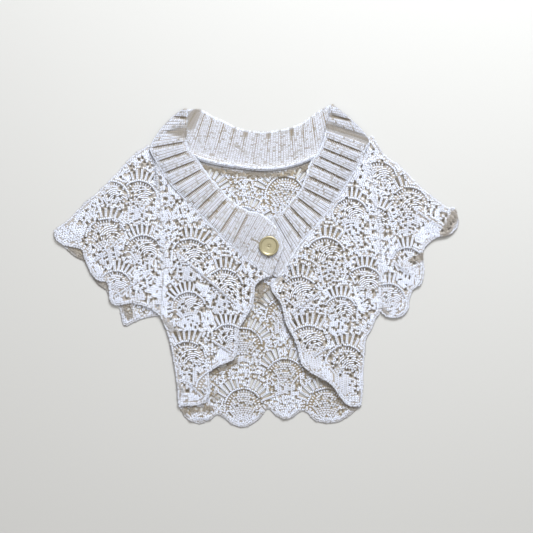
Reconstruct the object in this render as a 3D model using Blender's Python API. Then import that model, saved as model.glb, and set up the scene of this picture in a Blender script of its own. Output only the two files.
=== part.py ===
"""A one-button bolero cardigan in fan lace, laid flat and face up.

The garment lies in X and Y with the neck towards +Y, and rests on Z = 0. Its back and the backs of
its sleeves lie on the surface, the fronts and the fronts of the sleeves lie on them, and the ribbed
band goes round the neck and down to one button. Lengths in the tables are millimetres.
"""
import math

import bmesh
import bpy
from mathutils import Vector, geometry

MM = 0.001

# Thicknesses and the small gaps between pieces
lace_wall = 2.2
rib_wall = 2.2
rib_height = 1.6
seam_gap = 0.3
front_base = lace_wall + seam_gap

# The knitted fan: a dome of open rays round a focus, repeated in half-drop columns
dome_radius = 33.0
ray_length = 17.0
ray_width_inner = 4.6
ray_width_outer = 6.4
ray_angles = (-72, -52, -32, -11, 11, 32, 52, 72)
fan_across = 68.6
fan_drop = 49.8
hole_margin = 5.0
hole_spacing = 4.0

# Mesh spacing along curved edges and inside a panel
edge_step = 11.0
inner_step = 27.0
clear_of_edge = 9.0

# The button
button_radius = 16.0
button_centre = (22.0, 32.0)
button_profile = (
    # radius, height
    (13.2, 0.0), (15.4, 0.7), (16.0, 1.7), (15.7, 3.0), (14.6, 3.7), (13.3, 3.5), (12.4, 2.8),
    (7.0, 2.5), (2.2, 2.4),
)

# Each band is a row of ribs between grooves: the groove's outer end, then its inner end
left_band_grooves = (
    # outer_x, outer_y, inner_x, inner_y
    (-119, 258, -112, 258),
    (-137, 245, -113, 244),
    (-159, 221, -114, 222),
    (-174, 193, -114, 204),
    (-164, 170, -109, 189),
    (-153, 151, -96, 174),
    (-139, 131, -86, 160),
    (-119, 110, -74, 143),
    (-99, 90, -60, 128),
    (-82, 73, -46, 113),
    (-61, 52, -30, 100),
    (-40, 33, -12, 90),
    (-15, 13, 10, 84),
    (10, -7, 33, 61),
    (26, -17, 45, 28),
)
right_band_grooves = (
    # outer_x, outer_y, inner_x, inner_y
    (127, 265, 123, 265),
    (158, 239, 121, 248),
    (184, 209, 116, 230),
    (178, 185, 112, 211),
    (171, 168, 106, 195),
    (162, 153, 99, 182),
    (153, 138, 89, 169),
    (142, 122, 82, 149),
    (129, 102, 75, 130),
    (111, 79, 65, 115),
    (94, 59, 53, 101),
    (78, 41, 42, 89),
    (63, 19, 28, 82),
    (48, -4, 15, 74),
    (35, -19, 5, 62),
    (20, -9, -2, 49),
)
back_band_grooves = (
    # outer_x, outer_y at the neckline seam, inner_x, inner_y at the free edge
    (-173, 196, -114, 257),
    (-139, 186, -97, 258),
    (-109, 178, -84, 254),
    (-91, 172, -71, 246),
    (-73, 167, -52, 238),
    (-51, 163, -35, 229),
    (-30, 160, -16, 223),
    (-7, 157, 3, 221),
    (16, 156, 21, 221),
    (41, 158, 41, 224),
    (63, 163, 58, 228),
    (81, 169, 77, 236),
    (101, 178, 92, 247),
    (127, 186, 109, 258),
    (155, 193, 124, 265),
    (182, 206, 128, 264),
)
# The groove where each front band's seam to the lace starts, below the shoulder fold, and the one
# where the left sleeve ends and the left front starts
seam_start = 3
left_front_start = 4

# Edges of the lace pieces, as x, y
left_sleeve_top = (
    (-174, 193), (-177, 198), (-204, 180), (-232, 150), (-260, 122), (-288, 97), (-310, 75),
    (-322, 66), (-333, 57),
)
left_cuff_front = (
    (-333, 57), (-330, 43), (-317, 33), (-302, 30), (-288, 26), (-283, 11), (-276, -5), (-263, -24),
    (-246, -28), (-243, -43), (-241, -57), (-232, -66), (-220, -65), (-206, -62), (-188, -66),
    (-175, -71), (-158, -83),
)
left_cuff_back = (
    (-333, 57), (-328, 42), (-314, 28), (-297, 14), (-282, 6), (-274, -12), (-259, -33), (-248, -40),
    (-239, -57), (-226, -68), (-223, -83), (-217, -100), (-198, -92), (-176, -85), (-158, -83),
)
left_armhole = ((-164, 170), (-164, 140), (-158, 104), (-153, 51), (-153, -15), (-158, -83))
left_side = ((-158, -83), (-147, -109), (-139, -139), (-134, -172), (-130, -202), (-128, -231))
left_front_edge = (
    (26, -17), (12, -22), (0, -32), (-3, -50), (-7, -68), (-16, -85), (-26, -101), (-30, -118),
    (-30, -137), (-35, -152), (-45, -159), (-63, -166), (-76, -175), (-77, -192), (-76, -212),
    (-84, -225), (-102, -231), (-128, -231),
)
right_sleeve_top = (
    (178, 185), (185, 209), (192, 214), (200, 200), (214, 181), (236, 165), (256, 146), (271, 130),
    (292, 113), (314, 97), (327, 95),
)
right_cuff = (
    (327, 95), (332, 84), (334, 70), (328, 57), (314, 48), (299, 46), (285, 37), (276, 26), (276, 8),
    (277, -9), (273, -29), (259, -40), (253, -53), (252, -70), (244, -81), (229, -87), (214, -84),
    (205, -75),
)
right_armhole = ((178, 185), (188, 158), (196, 108), (203, 51), (206, -15), (205, -75))
right_side = (
    (205, -75), (196, -91), (190, -106), (182, -119), (179, -142), (177, -179), (176, -208), (173, -231),
)
right_front_edge = (
    (35, -19), (26, -30), (25, -40), (33, -52), (41, -63), (45, -80), (50, -98), (59, -114),
    (66, -129), (71, -151), (78, -167), (91, -177), (106, -185), (125, -198), (137, -215),
    (147, -227), (158, -233), (173, -231),
)
hem = (
    (-128, -231), (-117, -250), (-106, -258), (-92, -261), (-78, -256), (-64, -246), (-54, -250),
    (-43, -260), (-25, -267), (-7, -262), (7, -251), (20, -236), (31, -246), (47, -253), (61, -250),
    (74, -240), (84, -243), (96, -255), (116, -260), (134, -258), (150, -250), (162, -241), (173, -231),
)

# The fans of each piece: the focus, and how far the fan leans to the right of +Y, in degrees
back_fan_focus = (-21, -134)
left_front_fans = (
    # focus_x, focus_y, lean
    (-109, 13, 12), (-53, -37, 14), (-111, -71, -8), (-46, -124, 8), (-114, -156, 0), (-66, -205, 0),
)
right_front_fans = (
    # focus_x, focus_y, lean
    (114, 13, -12), (71, -50, -14), (139, -78, 8), (86, -131, -8), (147, -164, 0), (155, 82, -6),
    (178, -32, 10),
)
left_sleeve_fans = (
    # focus_x, focus_y, lean
    (-181, 103, 6), (-229, 42, -10), (-224, -35, 10), (-186, 21, 0), (-280, 42, -14), (-236, 113, 0),
)
right_sleeve_fans = (
    # focus_x, focus_y, lean
    (244, 85, -6), (239, -4, 8), (287, 72, 12), (218, -57, 0), (224, 133, 0),
)

# Where the cloth rises from the piece below: a line, the flat width beside it, its reach and lift
left_swells = (
    # x1, y1, x2, y2, flat, reach, lift
    (8, 74, 33, -6, 29, 68, 4.3),
    (-150, 235, -104, 178, 34, 90, 6.0),
    (0, -36, -28, -128, 2, 24, 4.0),
    (-44, -160, -77, -205, 2, 24, 4.0),
    (-131, 20, -72, -38, 1, 14, 2.0),
    (-72, -38, -14, -66, 1, 14, 2.0),
)
right_swells = (
    # x1, y1, x2, y2, flat, reach, lift
    (160, 240, 108, 182, 34, 90, 6.0),
    (32, -44, 64, -128, 2, 24, 4.0),
    (74, -160, 138, -215, 2, 24, 4.0),
    (106, -45, 60, -78, 1, 14, 2.0),
)
left_sleeve_swells = (
    # x1, y1, x2, y2, flat, reach, lift
    (-178, -13, -226, -50, 1, 16, 2.0),
    (-215, 52, -256, 10, 1, 16, 2.0),
)
right_sleeve_swells = (
    # x1, y1, x2, y2, flat, reach, lift
    (228, 6, 262, -20, 1, 16, 2.0),
    (262, 92, 306, 62, 1, 16, 2.0),
)


def clear_scene():
    for item in list(bpy.data.objects):
        bpy.data.objects.remove(item, do_unlink=True)


def finish_material(name, colour, roughness, metallic):
    """One plain material with the colour of the yarn or the button."""
    material = bpy.data.materials.new(name)
    material.use_nodes = True
    shader = material.node_tree.nodes["Principled BSDF"]
    shader.inputs["Base Color"].default_value = (*colour, 1.0)
    shader.inputs["Roughness"].default_value = roughness
    shader.inputs["Metallic"].default_value = metallic
    return material


def smooth_run(points, step=edge_step):
    """Points at about one spacing on a Catmull-Rom curve through the given ones."""
    knots = [Vector(p) for p in points]
    ends = [2 * knots[0] - knots[1]] + knots + [2 * knots[-1] - knots[-2]]
    run = [knots[0]]
    for before, start, end, after in zip(ends, ends[1:], ends[2:], ends[3:]):
        count = max(1, round((end - start).length / step))
        for i in range(1, count + 1):
            t = i / count
            run.append(
                0.5 * (2 * start + (end - before) * t
                       + (2 * before - 5 * start + 4 * end - after) * t ** 2
                       + (3 * start - before - 3 * end + after) * t ** 3)
            )
    return run


def joined(*runs):
    """One closed outline from runs laid end to end, without their doubled ends."""
    outline = []
    for run in runs:
        for point in run:
            if not outline or (point - outline[-1]).length > 0.5:
                outline.append(point)
    if (outline[0] - outline[-1]).length < 0.5:
        outline.pop()
    return outline


def signed_area(outline):
    return 0.5 * sum(a.x * b.y - b.x * a.y for a, b in zip(outline, outline[1:] + outline[:1]))


def inset(outline, distance):
    """The outline moved inwards, counter-clockwise."""
    if signed_area(outline) < 0:
        outline = outline[::-1]
    moved = []
    for before, here, after in zip(outline[-1:] + outline[:-1], outline, outline[1:] + outline[:1]):
        first, second = (here - before).normalized(), (after - here).normalized()
        left = Vector((-first.y - second.y, first.x + second.x))
        left = left.normalized() if left.length > 0.2 else Vector((-first.y, first.x))
        moved.append(here + left * distance)
    return moved


def is_inside(point, outline):
    inside = False
    for a, b in zip(outline, outline[1:] + outline[:1]):
        if (a.y > point.y) != (b.y > point.y):
            if point.x < a.x + (b.x - a.x) * (point.y - a.y) / (b.y - a.y):
                inside = not inside
    return inside


def distance_to_line(point, start, end):
    along = end - start
    share = max(0.0, min(1.0, (point - start).dot(along) / along.length_squared))
    return (point - start - along * share).length


def distance_to_outline(point, outline):
    return min(distance_to_line(point, a, b) for a, b in zip(outline, outline[1:] + outline[:1]))


def rise(point, swells):
    """How far the cloth is lifted at a point: the highest of the swells there."""
    most = 0.0
    for x1, y1, x2, y2, flat, reach, lift in swells:
        away = distance_to_line(point, Vector((x1, y1)), Vector((x2, y2)))
        share = min(1.0, max(0.0, (away - flat) / (reach - flat)))
        most = max(most, lift * (0.5 + 0.5 * math.cos(math.pi * share)))
    return most


def are_clear(hole, others):
    """Whether an outline keeps its spacing from all the others."""
    return all(
        not is_inside(p, other) and distance_to_outline(p, other) > hole_spacing
        for other in others for p in hole
    ) and all(not is_inside(p, hole) for other in others for p in other)


def ray_holes(fans):
    """The open gaps of each fan, as four-sided outlines that widen away from the focus."""
    holes = []
    for x, y, lean in fans:
        for angle in ray_angles:
            turn = math.radians(angle + lean)
            out = Vector((math.sin(turn), math.cos(turn)))
            side = Vector((out.y, -out.x))
            near = Vector((x, y)) + out * dome_radius
            far = near + out * ray_length
            hole = [
                near + side * ray_width_inner / 2,
                far + side * ray_width_outer / 2,
                far - side * ray_width_outer / 2,
                near - side * ray_width_inner / 2,
            ]
            if are_clear(hole, holes):
                holes.append(hole)
    return holes


def column_fans(outline):
    """Fans in half-drop columns, all upright, over the whole of one outline."""
    fans = []
    for column in range(-4, 6):
        for row in range(-3, 9):
            x = back_fan_focus[0] + column * fan_across
            y = back_fan_focus[1] + row * 2 * fan_drop + (column % 2) * fan_drop
            if is_inside(Vector((x, y + dome_radius)), outline):
                fans.append((x, y, 0))
    return fans


def solid_from(name, mesh_data, material):
    """An object from a bmesh in millimetres, all its faces triangles that face out."""
    bmesh.ops.triangulate(mesh_data, faces=mesh_data.faces[:])
    bmesh.ops.recalc_face_normals(mesh_data, faces=mesh_data.faces[:])
    bmesh.ops.scale(mesh_data, vec=(MM, MM, MM), verts=mesh_data.verts[:])
    mesh = bpy.data.meshes.new(name)
    mesh_data.to_mesh(mesh)
    mesh_data.free()
    item = bpy.data.objects.new(name, mesh)
    item.data.materials.append(material)
    bpy.context.collection.objects.link(item)
    return item


def lace_panel(name, outline, fans, base, swells, material):
    """A lace wall inside the outline, with its fans' gaps cut through."""
    outline = inset(outline, seam_gap / 2)
    holes = [
        hole for hole in ray_holes(fans)
        if all(is_inside(p, outline) and distance_to_outline(p, outline) > hole_margin for p in hole)
    ]
    points, lines = [], []
    for loop in [outline] + holes:
        first = len(points)
        points.extend(loop)
        lines.extend((first + i, first + (i + 1) % len(loop)) for i in range(len(loop)))
    fixed = list(points)

    inner = []
    for x1, y1, x2, y2, *_ in swells:
        start, end = Vector((x1, y1)), Vector((x2, y2))
        count = max(1, round((end - start).length / 16))
        inner.extend(start.lerp(end, i / count) for i in range(count + 1))
    low = Vector((min(p.x for p in outline), min(p.y for p in outline)))
    high = Vector((max(p.x for p in outline), max(p.y for p in outline)))
    for row in range(int((high.y - low.y) / inner_step) + 2):
        for column in range(int((high.x - low.x) / inner_step) + 2):
            inner.append(low + Vector(((column + 0.5 * (row % 2)) * inner_step, row * inner_step)))
    for point in inner:
        if not is_inside(point, outline) or any(is_inside(point, hole) for hole in holes):
            continue
        if min((point - other).length for other in fixed) > clear_of_edge:
            points.append(point)
            fixed.append(point)

    found = geometry.delaunay_2d_cdt(points, lines, [], 0, 1e-6)
    wall = bmesh.new()
    corners = [wall.verts.new((p.x, p.y, base + rise(p, swells))) for p in found[0]]
    for triangle in found[2]:
        middle = sum((found[0][i] for i in triangle), Vector((0, 0))) / 3
        if is_inside(middle, outline) and not any(is_inside(middle, hole) for hole in holes):
            wall.faces.new([corners[i] for i in triangle])
    loose = [v for v in wall.verts if not v.link_faces]
    bmesh.ops.delete(wall, geom=loose, context="VERTS")
    grown = bmesh.ops.extrude_face_region(wall, geom=wall.faces[:], use_keep_orig=True)
    top = [v for v in grown["geom"] if isinstance(v, bmesh.types.BMVert)]
    bmesh.ops.translate(wall, vec=(0, 0, lace_wall), verts=top)
    return solid_from(name, wall, material), len(holes)


def seam_points(grooves, end):
    """The points of a band along one edge, three to a rib, with the groove first. end is 0 or 2."""
    knots = [Vector(row[end:end + 2]) for row in grooves]
    ends = [2 * knots[0] - knots[1]] + knots + [2 * knots[-1] - knots[-2]]
    run = []
    for before, start, finish, after in zip(ends, ends[1:], ends[2:], ends[3:]):
        for t in (0.0, 0.2, 0.8):
            run.append(
                0.5 * (2 * start + (finish - before) * t
                       + (2 * before - 5 * start + 4 * finish - after) * t ** 2
                       + (3 * start - before - 3 * finish + after) * t ** 3)
            )
    run.append(knots[-1])
    return run


def rib_band(name, grooves, base, swells, material):
    """A ribbed band: plain below, with a raised rib between each pair of grooves above."""
    outer, inner = seam_points(grooves, 0), seam_points(grooves, 2)
    band = bmesh.new()
    across = (0.0, 0.33, 0.67, 1.0)
    below, above = [], []
    for i, (seam, free) in enumerate(zip(outer, inner)):
        along = (free - seam).normalized() * seam_gap / 2
        rib = 0.0 if i % 3 == 0 else rib_height
        low_row, high_row = [], []
        for share in across:
            point = (seam + along).lerp(free - along, share)
            height = base + rise(point, swells)
            low_row.append(band.verts.new((point.x, point.y, height)))
            high_row.append(band.verts.new((point.x, point.y, height + rib_wall + rib)))
        below.append(low_row)
        above.append(high_row)
    last = len(across) - 1
    for i in range(len(outer) - 1):
        for j in range(last):
            band.faces.new((above[i][j], above[i + 1][j], above[i + 1][j + 1], above[i][j + 1]))
            band.faces.new((below[i][j], below[i][j + 1], below[i + 1][j + 1], below[i + 1][j]))
        band.faces.new((above[i][0], below[i][0], below[i + 1][0], above[i + 1][0]))
        band.faces.new((above[i][last], above[i + 1][last], below[i + 1][last], below[i][last]))
    for i in (0, len(outer) - 1):
        for j in range(last):
            band.faces.new((above[i][j], above[i][j + 1], below[i][j + 1], below[i][j]))
    return solid_from(name, band, material)


def round_button(name, centre, base, material):
    """A turned button with a raised rim round a shallow dish."""
    sides = 36
    turned = bmesh.new()
    rings = []
    for radius, height in button_profile:
        ring = []
        for i in range(sides):
            angle = math.tau * i / sides
            ring.append(turned.verts.new((
                centre[0] + radius * math.cos(angle),
                centre[1] + radius * math.sin(angle),
                base + height,
            )))
        rings.append(ring)
    for low, high in zip(rings, rings[1:]):
        for i in range(sides):
            turned.faces.new((low[i], low[(i + 1) % sides], high[(i + 1) % sides], high[i]))
    turned.faces.new(rings[0][::-1])
    turned.faces.new(rings[-1])
    return solid_from(name, turned, material)


def centre_on_floor(items):
    """Moves every piece so that the whole garment's box is centred on the origin, over Z = 0."""
    corners = [v.co for item in items for v in item.data.vertices]
    shift = Vector((
        -(min(c.x for c in corners) + max(c.x for c in corners)) / 2,
        -(min(c.y for c in corners) + max(c.y for c in corners)) / 2,
        -min(c.z for c in corners),
    ))
    for item in items:
        for vertex in item.data.vertices:
            vertex.co += shift
    return shift / MM


def band_seam(grooves, first, last):
    """The band's outer edge from one groove to another, where lace is sewn to it."""
    return seam_points(grooves, 0)[3 * first:3 * last + 1]


def build():
    clear_scene()
    lace = finish_material("cotton lace", (0.86, 0.86, 0.86), 0.85, 0.0)
    rib = finish_material("cotton rib", (0.84, 0.84, 0.85), 0.85, 0.0)
    brass = finish_material("pale gold", (0.74, 0.66, 0.42), 0.4, 0.0)

    left_armhole_run, right_armhole_run = smooth_run(left_armhole), smooth_run(right_armhole)
    left_side_run, right_side_run = smooth_run(left_side), smooth_run(right_side)
    left_top_run, right_top_run = smooth_run(left_sleeve_top), smooth_run(right_sleeve_top)
    neckline = seam_points(back_band_grooves, 0)
    left_shoulder = band_seam(left_band_grooves, seam_start, left_front_start)
    left_seam = band_seam(left_band_grooves, left_front_start, len(left_band_grooves) - 1)
    right_seam = band_seam(right_band_grooves, seam_start, len(right_band_grooves) - 2)

    outlines = {
        "back": joined(smooth_run(hem), right_side_run[::-1], right_armhole_run[::-1], neckline[::-1],
                       left_shoulder, left_armhole_run, left_side_run),
        "left_front": joined(left_seam, smooth_run(left_front_edge), left_side_run[::-1],
                             left_armhole_run[::-1]),
        "right_front": joined(right_seam, smooth_run(right_front_edge), right_side_run[::-1],
                              right_armhole_run[::-1]),
        "left_sleeve_front": joined(left_top_run, smooth_run(left_cuff_front), left_armhole_run[::-1],
                                    left_shoulder[::-1]),
        "left_sleeve_back": joined(left_top_run, smooth_run(left_cuff_back), left_armhole_run[::-1],
                                   left_shoulder[::-1]),
        "right_sleeve_front": joined(right_top_run, smooth_run(right_cuff), right_armhole_run[::-1]),
    }
    outlines["right_sleeve_back"] = outlines["right_sleeve_front"]

    panels = (
        # name, fans, base, swells
        ("back", column_fans(outlines["back"]), 0.0, ()),
        ("left_sleeve_back", left_sleeve_fans, 0.0, ()),
        ("right_sleeve_back", right_sleeve_fans, 0.0, ()),
        ("left_sleeve_front", left_sleeve_fans, front_base, left_sleeve_swells),
        ("right_sleeve_front", right_sleeve_fans, front_base, right_sleeve_swells),
        ("left_front", left_front_fans, front_base, left_swells),
        ("right_front", right_front_fans, front_base, right_swells),
    )
    items, gaps = [], 0
    for name, fans, base, swells in panels:
        item, count = lace_panel(name, outlines[name], fans, base, swells, lace)
        items.append(item)
        gaps += count
        print(name, "gaps", count, "triangles", len(item.data.polygons))
    print("gaps in all", gaps)

    items.append(rib_band("neck_band_back", back_band_grooves, 0.0, (), rib))
    items.append(rib_band("neck_band_right", right_band_grooves, front_base, right_swells, rib))
    items.append(rib_band("neck_band_left", left_band_grooves, front_base, left_swells, rib))
    band_top = front_base + rise(Vector(button_centre), left_swells) + rib_wall + rib_height
    items.append(round_button("button", button_centre, band_top + seam_gap, brass))
    print("triangles in all", sum(len(item.data.polygons) for item in items))
    print("moved by", centre_on_floor(items))


build()
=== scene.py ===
import math

import bmesh
import bpy
import numpy as np
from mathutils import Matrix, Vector, geometry, noise


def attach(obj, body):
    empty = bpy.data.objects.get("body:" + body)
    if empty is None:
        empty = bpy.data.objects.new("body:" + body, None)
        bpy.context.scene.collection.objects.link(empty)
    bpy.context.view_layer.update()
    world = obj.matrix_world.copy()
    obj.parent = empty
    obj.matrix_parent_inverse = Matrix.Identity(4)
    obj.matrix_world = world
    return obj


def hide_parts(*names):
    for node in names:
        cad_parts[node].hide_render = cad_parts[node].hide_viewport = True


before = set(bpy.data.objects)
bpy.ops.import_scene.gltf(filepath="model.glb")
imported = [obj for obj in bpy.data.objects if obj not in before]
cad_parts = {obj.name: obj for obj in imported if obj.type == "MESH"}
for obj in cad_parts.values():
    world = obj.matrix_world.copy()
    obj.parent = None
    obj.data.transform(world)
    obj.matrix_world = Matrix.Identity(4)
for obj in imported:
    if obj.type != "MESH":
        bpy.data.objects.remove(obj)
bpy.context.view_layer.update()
print("frame loaded,", len(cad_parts), "nodes")

mm = 0.001
tableShift = np.array((-0.5, 0.84))  # the tables' origin in the frame, in mm
noise.seed_set(7)  # without it the stitches would drift in another way on every run


# Finishes

def setInputs(material, node, inputs):
    # each input is a value or the socket that feeds it
    for socket, value in inputs.items():
        if isinstance(value, bpy.types.NodeSocket):
            material.node_tree.links.new(value, node.inputs[socket])
        else:
            node.inputs[socket].default_value = value


def newMaterial(name, settings):
    material = bpy.data.materials.new(name)
    material.use_nodes = True
    shader = material.node_tree.nodes["Principled BSDF"]
    setInputs(material, shader, settings)
    return material, shader


def addNode(material, kind, inputs, **options):
    node = material.node_tree.nodes.new("ShaderNode" + kind)
    for option, value in options.items():
        setattr(node, option, value)
    setInputs(material, node, inputs)
    return node


cottonLook = {
    "shader": {"Roughness": 0.8, "Sheen Weight": 0.3, "Sheen Roughness": 0.45, "Specular IOR Level": 0.25},
    # the first two colours are the yarn's own tones; the third is the colour of the painted shade between
    # and under the stitches
    "colour": (0.79, 0.83, 0.96, 1), "warm": (0.77, 0.795, 0.89, 1), "paintedShade": (0.19, 0.145, 0.082, 1),
    "plies": 2.2, "plyDepth": 0.00006, "fuzzScale": 2400, "fuzzDepth": 0.00005,
}


def cottonMaterial(name, look, plied):
    # colour from each stitch's own tone, with painted shade mixed in towards a dark warm colour in the
    # hollows between and under the stitches
    material, shader = newMaterial(name, look["shader"])
    place = addNode(material, "TexCoord", {})
    tone = addNode(material, "Attribute", {}, attribute_name="tone")
    paintedShade = addNode(material, "Attribute", {}, attribute_name="paintedShade")
    fibre = addNode(material, "Mix", {
        "Factor": tone.outputs["Fac"], "A": look["colour"], "B": look["warm"],
    }, data_type="RGBA")
    deep = addNode(material, "Mix", {
        "Factor": paintedShade.outputs["Fac"], "A": fibre.outputs["Result"], "B": look["paintedShade"],
    }, data_type="RGBA")
    fuzz = addNode(material, "TexNoise", {
        "Vector": place.outputs["Object"], "Scale": look["fuzzScale"], "Detail": 2.0,
    })
    bump = addNode(material, "Bump", {"Height": fuzz.outputs["Fac"], "Distance": look["fuzzDepth"]})
    if plied:
        twist = addNode(material, "TexWave", {
            "Vector": place.outputs["UV"], "Scale": look["plies"],
        }, wave_type="BANDS", bands_direction="DIAGONAL")
        bump = addNode(material, "Bump", {
            "Height": twist.outputs["Fac"], "Distance": look["plyDepth"], "Normal": bump.outputs["Normal"],
        })
    setInputs(material, shader, {"Base Color": deep.outputs["Result"], "Normal": bump.outputs["Normal"]})
    return material


yarnMaterial = cottonMaterial("cotton yarn", cottonLook, plied=True)
webMaterial = cottonMaterial("cotton knit ground", cottonLook, plied=False)

buttonLook = {
    "shader": {"Roughness": 0.42, "Metallic": 0.5, "Coat Weight": 0.12, "Coat Roughness": 0.2},
    "colour": (0.20, 0.165, 0.085, 1), "pale": (0.36, 0.315, 0.19, 1),
    "centre": (-0.0208, -0.03314, 0), "ringScale": 190, "ringSway": 2.5, "ringDepth": 0.00008,
}


def brassMaterial(name, look):
    # fine turned rings round the button's middle
    material, shader = newMaterial(name, look["shader"])
    place = addNode(material, "TexCoord", {})
    centred = addNode(material, "Mapping", {"Vector": place.outputs["Object"], "Location": look["centre"]})
    rings = addNode(material, "TexWave", {
        "Vector": centred.outputs["Vector"], "Scale": look["ringScale"], "Distortion": look["ringSway"],
        "Detail": 3.0,
    }, wave_type="RINGS", rings_direction="Z")
    colour = addNode(material, "Mix", {
        "Factor": rings.outputs["Fac"], "A": look["colour"], "B": look["pale"],
    }, data_type="RGBA")
    bump = addNode(material, "Bump", {"Height": rings.outputs["Fac"], "Distance": look["ringDepth"]})
    setInputs(material, shader, {"Base Color": colour.outputs["Result"], "Normal": bump.outputs["Normal"]})
    return material


goldMaterial = brassMaterial("pale gold", buttonLook)
print("finishes made")


# Flat outlines, in mm

def tablePoints(*numbers):
    # x, y, x, y, as the tables give them, moved into the frame
    return np.reshape(numbers, (-1, 2)) + tableShift


def loopArea(loop):
    x, y = loop[:, 0], loop[:, 1]
    return 0.5 * float(np.sum(x * np.roll(y, -1) - y * np.roll(x, -1)))


def insideLoop(points, loop):
    px, py = points[:, :1], points[:, 1:2]
    ax, ay = loop[:, 0], loop[:, 1]
    bx, by = np.roll(ax, -1), np.roll(ay, -1)
    rise = np.where(by == ay, 1e-9, by - ay)
    crossed = ((ay > py) != (by > py)) & (px < ax + (bx - ax) * (py - ay) / rise)
    return np.sum(crossed, axis=1) % 2 == 1


def smoothStep(share):
    share = np.clip(share, 0, 1)
    return share * share * (3 - 2 * share)


def lineDistance(points, starts, ends):
    # distance of every point from every line, and how far along the line that is, from 0 to 1
    along = ends - starts
    size = np.maximum(np.sum(along ** 2, axis=1), 1e-9)
    away = points[:, None, :] - starts[None]
    share = np.clip(np.sum(away * along[None], axis=2) / size, 0, 1)
    return np.linalg.norm(away - share[..., None] * along[None], axis=2), share


def lineAway(points, ends):
    # the same from one line, given by its two ends
    away, share = lineDistance(points, ends[:1], ends[1:])
    return away[:, 0], share[:, 0]


def depthIn(points, x1, y1, r1, x2, y2, r2):
    # how deep every point lies in a line that widens from r1 to r2, and how wide that line is beside it
    away, share = lineAway(points, np.array(((x1, y1), (x2, y2))))
    wide = r1 + (r2 - r1) * share
    return wide - away, wide


def edgeDistance(points, loop, closed=True):
    starts = loop if closed else loop[:-1]
    ends = np.roll(loop, -1, axis=0) if closed else loop[1:]
    return lineDistance(points, starts, ends)[0].min(axis=1)


def catmull(knots, at):
    # points on a smooth run through the knots, at counts from the first
    knots = np.asarray(knots, float)
    ends = np.vstack((2 * knots[0] - knots[1], knots, 2 * knots[-1] - knots[-2]))
    at = np.clip(np.asarray(at, float), 0, len(knots) - 1 - 1e-6)
    first = at.astype(int)
    t = (at - first)[:, None]
    a, b, c, d = (ends[first + i] for i in range(4))
    return 0.5 * (2 * b + (c - a) * t + (2 * a - 5 * b + 4 * c - d) * t ** 2
                  + (3 * b - a - 3 * c + d) * t ** 3)


def evenRun(line, step):
    # points at one even spacing along a polyline, with its direction at each
    gone = np.concatenate(([0], np.cumsum(np.linalg.norm(np.diff(line, axis=0), axis=1))))
    count = max(2, int(round(gone[-1] / step)) + 1)
    at = np.linspace(0, gone[-1], count)
    run = np.column_stack([np.interp(at, gone, line[:, i]) for i in range(2)])
    ahead = np.gradient(run, axis=0)
    return run, ahead / np.maximum(np.linalg.norm(ahead, axis=1, keepdims=True), 1e-9)


def readNode(name):
    # the outline of a CAD piece's flat underside, and the points that carry its height
    shape = bmesh.new()
    shape.from_mesh(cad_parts[name].data)
    bmesh.ops.remove_doubles(shape, verts=shape.verts[:], dist=2e-5)
    shape.normal_update()
    under = {face for face in shape.faces if face.normal.z < -0.5}
    nextTo = {}
    for edge in shape.edges:
        if sum(face in under for face in edge.link_faces) == 1:
            for vert in edge.verts:
                nextTo.setdefault(vert, []).append(edge.other_vert(vert))
    loops, used = [], set()
    for start in nextTo:
        here, loop = (None if start in used else start), []
        while here is not None:
            used.add(here)
            loop.append(here.co[:2])
            here = next((vert for vert in nextTo[here] if vert not in used), None)
        if len(loop) > 2:
            loop = np.array(loop) / mm
            loops.append(loop if loopArea(loop) > 0 else loop[::-1])
    low = np.array([vert.co[:] for vert in {v for face in under for v in face.verts}]) / mm
    shape.free()
    return max(loops, key=loopArea), low


outlines = {name: readNode(name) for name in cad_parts}
print("outlines read")


def stretchOf(outline, start, via, end):
    # the part of an outline from one point to another, by way of a third
    start, via, end = (
        int(np.argmin(np.linalg.norm(outline - point, axis=1))) for point in tablePoints(*start, *via, *end)
    )
    count = len(outline)
    ahead = [(start + i) % count for i in range((end - start) % count + 1)]
    if via in ahead:
        return outline[ahead]
    return outline[[(end + i) % count for i in range((start - end) % count + 1)]]


# Height of the cloth, on a grid over each piece; all lengths in mm

cloth = {
    "gridStep": 2.5, "margin": 16, "blur": 9.0, "batch": 4000, "wave": 42, "ripple": 17, "lapSoft": 9,
    "creaseSoft": 13.0, "creaseSharp": 2.6, "creaseFade": 0.3,
    "creaseRoom": 4.2, "edgeRoom": 3.5, "gapRoom": 1.5, "meshStep": 7.5,
    # the last value here is how much painted shade the undersides of the sheets get
    "webLow": 0.15, "webHigh": 1.15, "yarnBase": 1.35, "undersideShade": 0.12,
}


def creaseHeight(points, x1, y1, x2, y2, lift):
    # a ridge that falls softly to its upper side and sharply to its lower one
    start, end = ends = tablePoints(x1, y1, x2, y2)
    away, share = lineAway(points, ends)
    along = (end - start) / np.linalg.norm(end - start)
    across = np.array((-along[1], along[0])) if along[0] > 0 else np.array((along[1], -along[0]))
    fade = np.minimum(share, 1 - share) / cloth["creaseFade"]
    upper = np.exp(-away / cloth["creaseSoft"])
    lower = np.clip(1 - away / cloth["creaseSharp"], 0, 1) ** 2
    return lift * smoothStep(fade) * np.where((points - start) @ across > 0, upper, lower)


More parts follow.
